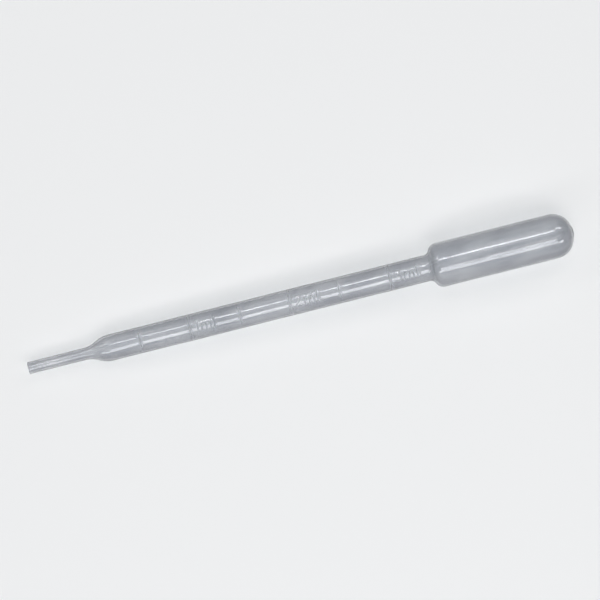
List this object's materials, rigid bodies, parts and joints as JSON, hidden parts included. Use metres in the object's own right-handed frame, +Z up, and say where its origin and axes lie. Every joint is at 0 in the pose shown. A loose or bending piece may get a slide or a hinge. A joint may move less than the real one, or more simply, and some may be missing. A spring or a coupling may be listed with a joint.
{
  "type": "plastic dropper pipette",
  "caption": "One-piece translucent plastic dropper pipette with a squeeze bulb, a graduated stem and a narrow tip, lying on its side.",
  "frame": {"origin": "bottom centre of the bounding box, on the surface that the pipette lies on", "axes": "+X from the tip to the bulb, +Z up through the graduated side; the tube's own axis rises 1.53 degrees towards the bulb, as it lies"},
  "size_m": [0.1602, 0.0128, 0.0135],
  "materials": {
    "polyethylene": "natural translucent low-density polyethylene, as blown"
  },
  "bodies": {
    "root": {"pipette": "polyethylene"}
  },
  "joints": []
}
